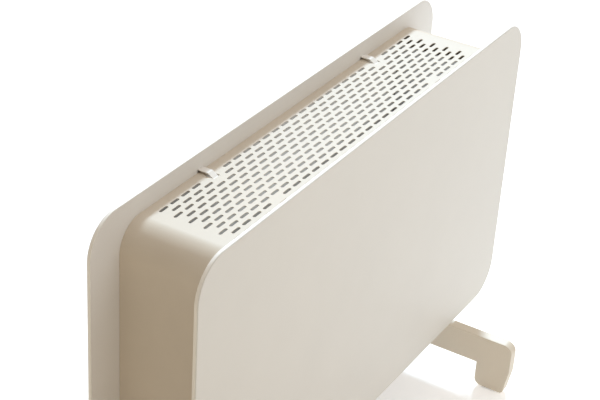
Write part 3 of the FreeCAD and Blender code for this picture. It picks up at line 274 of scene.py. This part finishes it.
def sheetMetal(name, colour, roughness=0.35, streak=metal["streak"]):
    material, shader, place = shaderFor(name, Metallic=1.0)
    mapped = place.make("ShaderNodeMapping", None, {"Vector": place, "Scale": (1.0, streak, streak)})
    lines = noise(mapped, metal["lines"], detail=4.0)
    spangle = place.make("ShaderNodeTexVoronoi", None, {"Vector": place, "Scale": metal["spangle"]})
    tone = place.mix(lines, rgb(colour, metal["dark"]), rgb(colour, metal["pale"]))
    rough = lines * metal["lineRough"] + spangle * metal["spangleRough"] + (roughness - metal["roughLift"])
    drive(shader, place, Base_Color=tone, Roughness=rough,
          Normal=bump(place, lines, metal["bump"], metal["depth"]))
    return material


ceramic = {"pores": 700.0, "patch": 30.0, "dark": 0.9, "pale": 1.04, "rough": 0.72, "poreRough": 0.1,
           "bump": 0.3, "depth": 0.0002}


def firedCeramic(name, colour):
    material, shader, place = shaderFor(name)
    pores = noise(place, ceramic["pores"])
    patch = noise(place, ceramic["patch"])
    tone = place.mix(patch, rgb(colour, ceramic["dark"]), rgb(colour, ceramic["pale"]))
    drive(shader, place, Base_Color=tone, Roughness=pores * ceramic["poreRough"] + ceramic["rough"],
          Normal=bump(place, pores, ceramic["bump"], ceramic["depth"]))
    return material


finishes = {
    "panel_paint": paintedSheet("creamPanelPaint", paint["panel"]),
    "liner_paint": paintedSheet("creamLinerPaint", paint["liner"]),
    "casing_paint": paintedSheet("creamCasingPaint", paint["casing"], 0.05),
    "zinc_steel": sheetMetal("zincSteel", (0.66, 0.67, 0.68)),
    "bright_sheet": sheetMetal("brightSheet", (0.93, 0.93, 0.94), 0.45),
    "fin_aluminium": sheetMetal("finAluminium", (0.90, 0.91, 0.92), 0.5),
    "heater_ceramic": firedCeramic("firedCeramic", (0.78, 0.75, 0.68)),
    "foot_plastic": mouldedPlastic("footPlastic", (0.77, 0.685, 0.56)),
    "pad_rubber": mouldedPlastic("padRubber", (0.03, 0.03, 0.03), 0.85),
    "fascia_plastic": mouldedPlastic("fasciaPlastic", (0.55, 0.50, 0.41)),
    "knob_plastic": mouldedPlastic("knobPlastic", (0.50, 0.455, 0.37), 0.42),
    "switch_plastic": mouldedPlastic("switchPlastic", (0.03, 0.03, 0.032), 0.35),
    "rocker_plastic": mouldedPlastic("rockerPlastic", (0.50, 0.455, 0.37), 0.3),
    "lens_plastic": glossPlastic("lensPlastic", (0.50, 0.10, 0.015), 0.15),
    "lamp_glass": glossPlastic("lampGlass", (0.8, 0.8, 0.78), 0.1),
    "block_plastic": mouldedPlastic("blockPlastic", (0.74, 0.72, 0.66)),
    "gland_plastic": mouldedPlastic("glandPlastic", (0.03, 0.03, 0.03)),
    "grommet_rubber": mouldedPlastic("grommetRubber", (0.02, 0.02, 0.02), 0.8),
    "terminal_brass": sheetMetal("terminalBrass", (0.74, 0.53, 0.22), 0.3),
    "copper_tube": sheetMetal("copperTube", (0.80, 0.40, 0.25), 0.3),
    "wire_sleeve": mouldedPlastic("wireSleeve", (0.42, 0.09, 0.05), 0.6),
    "screw_steel": sheetMetal("screwSteel", (0.6, 0.6, 0.61), 0.28, 1.0),
}
# a paler copy of the cream paint for the hooks: painted highlight where the sun catches them
hookHighlightPaint = paintedSheet("creamHookHighlightPaint", paint["hook"])
printInk = mouldedPlastic("printInk", (0.045, 0.043, 0.04), 0.55)


def dressFrame():
    for node, slot in slotOf.items():
        nodes[node].data.materials.clear()
        nodes[node].data.materials.append(finishes[slot])


meshing = {"weld": 1e-6, "flat": 0.5, "crease": 30.0}                        # metres, degrees, degrees


def newPiece(name, build, slot, body="chassis", stands=(), sharp=35.0, material=None):
    bmesh.ops.remove_doubles(build, verts=build.verts, dist=meshing["weld"])
    bmesh.ops.recalc_face_normals(build, faces=build.faces)
    mesh = bpy.data.meshes.new(name)
    build.to_mesh(mesh)
    build.free()
    mesh.shade_smooth()
    mesh.set_sharp_from_angle(angle=math.radians(sharp))
    mesh.materials.append(material or finishes[slot])
    piece = bpy.data.objects.new(name, mesh)
    bpy.context.collection.objects.link(piece)
    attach(piece, body)
    if stands:
        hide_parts(*stands)
    even = piece.modifiers.new("weightedNormal", "WEIGHTED_NORMAL")    # keeps flat faces looking flat
    even.keep_sharp = True
    return piece


def mergedCopy(node):
    build = bmesh.new()
    build.from_mesh(nodes[node].data)
    bmesh.ops.remove_doubles(build, verts=build.verts, dist=meshing["weld"])
    bmesh.ops.dissolve_limit(build, angle_limit=math.radians(meshing["flat"]), verts=build.verts,
                             edges=build.edges)
    return build


def breakEdges(build, edge, segments):
    corners = [side for side in build.edges
               if side.is_manifold and side.calc_face_angle(0) > math.radians(meshing["crease"])]
    bmesh.ops.bevel(build, geom=corners, affect="EDGES", offset=edge, offset_type="OFFSET",
                    segments=segments, profile=0.5, material=-1, clamp_overlap=False)


def softened(node, name, edge, segments=2, material=None):             # a node's own shape, edges rounded
    build = mergedCopy(node)
    breakEdges(build, edge, segments)
    return newPiece(name, build, slotOf[node], bodyOf[node], (node,), material=material)


def lathe(build, centre, profile, steps):                              # turns (along, radius) about +X
    points = [build.verts.new(Vector(centre) + Vector((along, 0, radius))) for along, radius in profile]
    lines = [build.edges.new(pair) for pair in zip(points, points[1:])]
    bmesh.ops.spin(build, geom=points + lines, cent=centre, axis=(1, 0, 0), angle=math.tau, steps=steps,
                   use_merge=True, use_duplicate=False)
    bmesh.ops.remove_doubles(build, verts=build.verts, dist=meshing["weld"])


def liesAt(item, y):
    return all(abs(point.co.y - y) < meshing["weld"] for point in item.verts)


# each panel is a pressed steel tray with a rounded rim, open to the casing
panel = {"corner": 0.042, "cornerSteps": 22, "rimRound": 0.0018, "rimSteps": 5, "sheet": 0.0008,
         "lip": 0.00025, "lipSteps": 2, "cellsWide": 16, "cellsHigh": 9, "crown": 0.0004,
         "rimHighlightShare": 0.45, "linerEdge": 0.0002}


def pushOut(build, grown, distance):
    moved = [item for item in grown["geom"] if isinstance(item, bmesh.types.BMVert)]
    bmesh.ops.translate(build, verts=moved, vec=(0, distance, 0))


def cutCells(build, low, high):
    for axis, count in ((0, panel["cellsWide"]), (2, panel["cellsHigh"])):
        for step in range(1, count):
            place = Vector((0, 0, 0))
            place[axis] = low[axis] + (high[axis] - low[axis]) * step / count
            normal = [0, 0, 0]
            normal[axis] = 1
            bmesh.ops.bisect_plane(build, geom=build.verts[:] + build.edges[:] + build.faces[:],
                                   plane_co=place, plane_no=normal, dist=meshing["weld"])


def crownFace(build, low, high, outer, way):
    middle, half = (low + high) / 2, (high - low) / 2
    for point in build.verts:
        if abs(point.co.y - outer) < meshing["weld"]:
            across = 1 - ((point.co.x - middle.x) / half.x) ** 2
            up = 1 - ((point.co.z - middle.z) / half.z) ** 2
            point.co.y -= way * panel["crown"] * (1 - across * up)       # pressed very slightly full


# marks a panel's rim side wall and the outer part of its round for the painted rim highlight
def markRim(piece, outer, way):
    rim = piece.data.attributes.new("rim", "FLOAT", "POINT")
    for point, mark in zip(piece.data.vertices, rim.data):
        outward = way * (point.co.y - outer) + panel["rimRound"]
        mark.value = 1.0 if outward < panel["rimRound"] * panel["rimHighlightShare"] else 0.0


def panelShell(node, name):
    low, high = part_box(node)
    inner, outer = (high.y, low.y) if low.y < 0 else (low.y, high.y)
    way = 1 if outer > inner else -1
    build = bmesh.new()
    corners = [build.verts.new((x, inner, z)) for x, z in
               ((low.x, low.z), (high.x, low.z), (high.x, high.z), (low.x, high.z))]
    build.faces.new(corners)
    bmesh.ops.bevel(build, geom=corners, affect="VERTICES", offset=panel["corner"],
                    segments=panel["cornerSteps"], profile=0.5, material=-1)
    solid = bmesh.ops.extrude_face_region(build, geom=build.faces[:], use_keep_orig=True)
    pushOut(build, solid, outer - inner)
    build.normal_update()
    rim = [side for side in build.edges if liesAt(side, outer)]
    bmesh.ops.bevel(build, geom=rim, affect="EDGES", offset=panel["rimRound"], offset_type="OFFSET",
                    segments=panel["rimSteps"], profile=0.5, material=-1)
    opening = [face for face in build.faces if liesAt(face, inner)]
    bmesh.ops.inset_region(build, faces=opening, thickness=panel["sheet"], use_even_offset=True)
    hollow = bmesh.ops.extrude_face_region(build, geom=opening)
    bmesh.ops.delete(build, geom=[face for face in opening if face.is_valid], context="FACES_ONLY")
    pushOut(build, hollow, outer - inner - way * panel["sheet"])
    lip = [side for side in build.edges if liesAt(side, inner)]
    bmesh.ops.bevel(build, geom=lip, affect="EDGES", offset=panel["lip"], offset_type="OFFSET",
                    segments=panel["lipSteps"], profile=0.5, material=-1)
    cutCells(build, low, high)
    crownFace(build, low, high, outer, way)
    piece = newPiece(name, build, slotOf[node], "chassis", (node,))
    markRim(piece, outer, way)


def makePanels():
    for face in ("front", "rear"):
        panelShell(face + "_panel", face + "PanelShell")
    for face in ("front", "rear"):
        softened(face + "_liner", face + "LinerSheet", panel["linerEdge"])


sheetEdge = {"casing": 0.00025, "tray": 0.0002, "hook": 0.00035}


def makeCasing():
    softened("casing_band", "casingBand", sheetEdge["casing"])
    softened("base_tray", "baseTray", sheetEdge["tray"], segments=1)
    for face in ("front", "rear"):
        for side in ("left", "right"):
            softened(face + "_hook_" + side, face + "Hook" + side.title(), sheetEdge["hook"],
                     material=hookHighlightPaint)


footing = {"edge": 0.0008, "edgeSteps": 3, "padEdge": 0.0005}


def makeFeet():
    for side in ("left", "right"):
        softened(side + "_foot", side + "FootMoulding", footing["edge"], footing["edgeSteps"])
        for end in ("front", "rear"):
            softened("foot_pad_" + side + "_" + end, side + "Pad" + end.title(), footing["padEdge"])


# the knob's outline: skirt and grip run forward from its back, the cap runs back from its front,
# and each point's second number is how far it lies in from the rim or, past the skirt, from the grip
knob = {"steps": 96, "gripIn": 0.003, "hollow": 0.0005, "dish": 0.0015,
        "skirt": ((0.0005, 0.0025), (0, 0.0020), (0, 0.0004), (0.0004, 0), (0.0026, 0),
                  (0.0036, 0.0006), (0.0040, 0.0016)),
        "grip": ((0.0042, -0.0004), (0.0050, 0), (0.0070, 0.0001)),
        "cap": ((0.0030, 0.0008), (0.0015, 0.0013), (0.0004, 0.0024), (0, 0.0038),
                (0.0002, 0.0052), (0.0012, 0.0068), (0.0015, 0.0090)),
        "flutes": 24, "fluteDeep": 0.0007, "fluteFrom": 0.0048, "fluteEnd": 0.0012, "fluteSkin": 0.002,
        "pointerWide": 0.0018, "pointerDeep": 0.0022, "pointerSunk": 0.0010, "pointerFrom": 0.004,
        "pointerIn": 0.0020, "pointerEdge": 0.0003}


def makeKnobBody(low, centre, radius, tall):
    grip = radius - knob["gripIn"]
    profile = [(knob["hollow"], 0.0)]
    profile += [(along, radius - inward) for along, inward in knob["skirt"]]
    profile += [(along, grip - inward) for along, inward in knob["grip"]]
    profile += [(tall - down, grip - inward) for down, inward in knob["cap"]]
    profile.append((tall - knob["dish"], 0.0))
    build = bmesh.new()
    lathe(build, centre, profile, knob["steps"])
    for point in build.verts:
        along = point.co.x - low.x
        away = Vector((0, point.co.y - centre[1], point.co.z - centre[2]))
        onGrip = knob["fluteFrom"] < along < tall - knob["fluteEnd"]
        if onGrip and away.length > grip - knob["fluteSkin"]:
            wave = 0.5 + 0.5 * math.cos(math.atan2(away.y, away.z) * knob["flutes"])
            point.co -= away.normalized() * knob["fluteDeep"] * wave
    newPiece("thermostatKnobBody", build, "knob_plastic", "dial", ("thermostat_knob",))


def makeKnobPointer(high, centre, radius):
    reach = radius - knob["gripIn"] - knob["pointerIn"]
    build = bmesh.new()
    bmesh.ops.create_cube(build, size=1.0)
    bmesh.ops.scale(build, vec=(knob["pointerDeep"], knob["pointerWide"], reach - knob["pointerFrom"]),
                    verts=build.verts)
    middle = (high.x - knob["pointerSunk"], centre[1], centre[2] + (reach + knob["pointerFrom"]) / 2)
    bmesh.ops.translate(build, vec=middle, verts=build.verts)
    breakEdges(build, knob["pointerEdge"], segments=2)
    newPiece("knobPointer", build, "switch_plastic", "dial", material=printInk)


def makeKnob():
    low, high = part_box("thermostat_knob")
    centre = (low.x, (low.y + high.y) / 2, (low.z + high.z) / 2)
    radius = (high.z - low.z) / 2
    makeKnobBody(low, centre, radius, high.x - low.x)
    makeKnobPointer(high, centre, radius)


scale = {"numbers": 7, "ticksEach": 3, "sweep": 270.0, "tickIn": 0.0215, "tickOut": 0.0245,
         "tickWide": 0.0006, "shortBy": 0.0012, "thin": 0.6, "numberOut": 0.0290, "numberSize": 0.0052,
         "ink": 0.00012}


def addTick(build, face, centre, angle, outer, wide):
    start = len(build.verts)
    bmesh.ops.create_cube(build, size=1.0)
    build.verts.ensure_lookup_table()
    fresh = build.verts[start:]
    inner = scale["tickIn"]
    bmesh.ops.scale(build, vec=(scale["ink"], wide, outer - inner), verts=fresh)
    bmesh.ops.translate(build, vec=(0, 0, (inner + outer) / 2), verts=fresh)
    bmesh.ops.rotate(build, cent=(0, 0, 0), matrix=Matrix.Rotation(-angle, 3, "X"), verts=fresh)
    bmesh.ops.translate(build, vec=(face + scale["ink"] / 2, centre.y, centre.z), verts=fresh)


def addNumber(build, number, place):
    curve = bpy.data.curves.new("number", "FONT")
    curve.body = str(number)
    curve.size = scale["numberSize"]
    curve.extrude = scale["ink"] / 2
    curve.align_x = "CENTER"
    curve.align_y = "CENTER"
    holder = bpy.data.objects.new("number", curve)
    mesh = bpy.data.meshes.new_from_object(holder)
    facing = Matrix(((0, 0, 1), (1, 0, 0), (0, 1, 0))).to_4x4()                # reads along +Y, faces +X
    mesh.transform(Matrix.Translation(place) @ facing)
    build.from_mesh(mesh)
    bpy.data.objects.remove(holder)
    bpy.data.curves.remove(curve)
    bpy.data.meshes.remove(mesh)


def makeScale():
    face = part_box("control_fascia")[1].x
    low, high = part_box("thermostat_knob")
    centre = (low + high) / 2
    build = bmesh.new()
    last = (scale["numbers"] - 1) * scale["ticksEach"]
    for tick in range(last + 1):
        angle = math.radians(scale["sweep"]) * tick / last
        if tick % scale["ticksEach"]:
            addTick(build, face, centre, angle, scale["tickOut"] - scale["shortBy"],
                    scale["tickWide"] * scale["thin"])
        else:
            addTick(build, face, centre, angle, scale["tickOut"], scale["tickWide"])
            place = (face + scale["ink"] / 2, centre.y + math.sin(angle) * scale["numberOut"],
                     centre.z + math.cos(angle) * scale["numberOut"])
            addNumber(build, tick // scale["ticksEach"], place)
    newPiece("dialScale", build, "switch_plastic", "chassis", material=printInk)


rocker = {"edge": 0.0004, "edgeSteps": 3, "frameEdge": 0.0003, "valleyOut": 0.0044, "valleyDrop": 0.00094,
          "lean": 24.0, "barUp": 0.0070, "barTall": 0.0040, "barWide": 0.0009, "markDeep": 0.00015,
          "ringDown": 0.0060, "ringOut": 0.0021, "ringIn": 0.0014, "ringSteps": 32}


def makeRockerMarks(name, body, pivot):
    valley = pivot + Vector((rocker["valleyOut"], 0, -rocker["valleyDrop"]))
    deep = rocker["markDeep"]
    build = bmesh.new()
    bmesh.ops.create_cube(build, size=1.0)                                       # the bar that means on
    bmesh.ops.scale(build, vec=(deep * 2, rocker["barWide"], rocker["barTall"]), verts=build.verts)
    bmesh.ops.translate(build, vec=(0, 0, rocker["barUp"]), verts=build.verts)
    bmesh.ops.rotate(build, cent=(0, 0, 0), verts=build.verts,
                     matrix=Matrix.Rotation(math.radians(rocker["lean"]), 3, "Y"))
    bmesh.ops.translate(build, vec=valley, verts=build.verts)
    ring = [(-deep, rocker["ringIn"]), (deep, rocker["ringIn"]), (deep, rocker["ringOut"]),
            (-deep, rocker["ringOut"]), (-deep, rocker["ringIn"])]
    lathe(build, valley - Vector((0, 0, rocker["ringDown"])), ring, rocker["ringSteps"])    # means off
    newPiece(name, build, "switch_plastic", body, material=printInk)


def makeRockers():
    for joint in frame["joints"]:
        if joint["name"].endswith("rocker_press"):
            side = joint["name"].split("_")[0]
            softened("switch_rocker_" + side, side + "RockerCap", rocker["edge"], rocker["edgeSteps"])
            softened("switch_housing_" + side, side + "RockerFrame", rocker["frameEdge"])
            makeRockerMarks(side + "RockerMarks", joint["child"], Vector(joint["pos_m"]))


lens = {"steps": 48, "ribs": 4, "ribRise": 0.00045, "ribIn": 0.0009, "stemIn": 0.0015, "stemEdge": 0.0005,
        "rimEdge": 0.0002, "rimTall": 0.0009, "seatTall": 0.0012, "seatIn": 0.0004}


def makeLens():
    low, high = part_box("pilot_lens")
    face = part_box("control_fascia")[1].x
    centre = (low.x, (low.y + high.y) / 2, (low.z + high.z) / 2)
    rim, base, tall = (high.z - low.z) / 2, face - low.x, high.x - low.x
    stem = rim - lens["stemIn"]
    profile = [(0, 0), (0, stem - lens["stemEdge"]), (lens["stemEdge"], stem), (base, stem),
               (base, rim - lens["rimEdge"]), (base + lens["rimEdge"], rim), (base + lens["rimTall"], rim),
               (base + lens["seatTall"], rim - lens["seatIn"])]
    for rib in range(lens["ribs"]):
        outer = (rim - lens["ribIn"]) * (1 - rib / lens["ribs"])
        profile += [(base + lens["seatTall"], outer), (tall, outer - lens["ribRise"])]
    profile.append((tall, 0))
    build = bmesh.new()
    lathe(build, centre, profile, lens["steps"])
    newPiece("pilotLens", build, "lens_plastic", "chassis", ("pilot_lens",), sharp=25.0)


# the bush's face and mouth run back from its outer end, in from the flange and out from the bore
gland = {"steps": 96, "notches": 12, "notchDeep": 0.0009, "notchSkin": 0.0005, "bore": 0.004,
         "stemIn": 0.003, "stemEdge": 0.0006, "flangeEdge": 0.0003,
         "face": ((0.0012, 0), (0.0005, 0.0004), (0.0002, 0.0012), (0, 0.0030)),
         "mouth": ((0, 0.0014), (0.0003, 0.0006), (0.0010, 0))}


def makeGland():
    low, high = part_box("cord_gland")
    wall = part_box("casing_band")[1].x
    centre = (low.x, (low.y + high.y) / 2, (low.z + high.z) / 2)
    flange, base, tall = (high.z - low.z) / 2, wall - low.x, high.x - low.x
    stem, bore = flange - gland["stemIn"], gland["bore"]
    profile = [(0, bore), (0, stem - gland["stemEdge"]), (gland["stemEdge"], stem), (base, stem),
               (base, flange - gland["flangeEdge"]), (base + gland["flangeEdge"], flange)]
    profile += [(tall - down, flange - inward) for down, inward in gland["face"]]
    profile += [(tall - down, bore + outward) for down, outward in gland["mouth"]]
    profile.append((0, bore))
    build = bmesh.new()
    lathe(build, centre, profile, gland["steps"])
    for point in build.verts:
        away = Vector((0, point.co.y - centre[1], point.co.z - centre[2]))
        if away.length > flange - gland["notchSkin"]:
            wave = max(0.0, math.cos(math.atan2(away.y, away.z) * gland["notches"])) ** 2
            point.co -= away.normalized() * gland["notchDeep"] * wave
    newPiece("cordGlandBush", build, "gland_plastic", "chassis", ("cord_gland",))


# the dome is in shares of the head's height and radius
screw = {"steps": 24, "head": 0.0036, "headEdge": 0.0001, "shank": 0.002, "tipShare": 0.6, "tipTall": 0.5,
         "dome": ((0.45, 1.0), (0.75, 0.93), (0.93, 0.78), (1.0, 0.60)),
         "recessDeep": 0.0012, "recessOut": 0.0012, "recessIn": 0.0011, "recessTip": 0.0003,
         "recessSkin": 0.0001, "armHalf": 0.000455, "armReach": 0.0017, "armEdge": 15.5,
         "crossFrom": 0.0005, "crossTo": 0.0013}


def crossRadius(angle):
    turn = abs((angle + math.pi / 4) % (math.pi / 2) - math.pi / 4)              # from the nearest arm
    if turn < math.radians(screw["armEdge"]):
        return screw["armReach"] / math.cos(turn)
    return screw["armHalf"] / math.sin(turn)


def addScrew(build, seat, tall, length):
    start = len(build.verts)
    shank, head, recess = screw["shank"], screw["head"], tall - screw["recessDeep"]
    profile = [(-length, 0), (-length, shank * screw["tipShare"]),
               (-length + shank * screw["tipTall"], shank), (0, shank), (0, head - screw["headEdge"]),
               (screw["headEdge"] * 2, head)]
    profile += [(tall * rise, head * share) for rise, share in screw["dome"]]
    profile += [(tall, screw["recessOut"]), (recess, screw["recessIn"]), (recess - screw["recessTip"], 0)]
    lathe(build, seat, profile, screw["steps"])
    build.verts.ensure_lookup_table()
    for point in build.verts[start:]:
        along = point.co.x - seat[0]
        away = Vector((0, point.co.y - seat[1], point.co.z - seat[2]))
        inRecess = screw["crossFrom"] < away.length < screw["crossTo"]
        if inRecess and along > recess - screw["recessSkin"]:
            reach = crossRadius(math.atan2(away.y, away.z))
            point.co = Vector((point.co.x, seat[1], seat[2])) + away.normalized() * reach


def makeScrews():
    low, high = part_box("fascia_screws")
    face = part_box("control_fascia")[1].x
    head = screw["head"]
    build = bmesh.new()
    for y in (low.y + head, high.y - head):
        for z in (low.z + head, high.z - head):
            addScrew(build, (face, y, z), high.x - face, face - low.x)
    newPiece("fasciaScrewSet", build, "screw_steel", "chassis", ("fascia_screws",), sharp=28.0)


fascia = {"edge": 0.0005, "edgeSteps": 3}


def makeControls():
    softened("control_fascia", "controlFascia", fascia["edge"], fascia["edgeSteps"])
    makeKnob()
    makeScale()
    makeRockers()
    makeLens()
    makeGland()
    makeScrews()


makeCamera()
makeSky()
makeSun()
makeInnerFill()
makeFloor()
dressFrame()
print("stage, camera and finishes made")
makePanels()
makeCasing()
makeFeet()
print("panels, casing and feet made")
makeControls()
print("controls made")
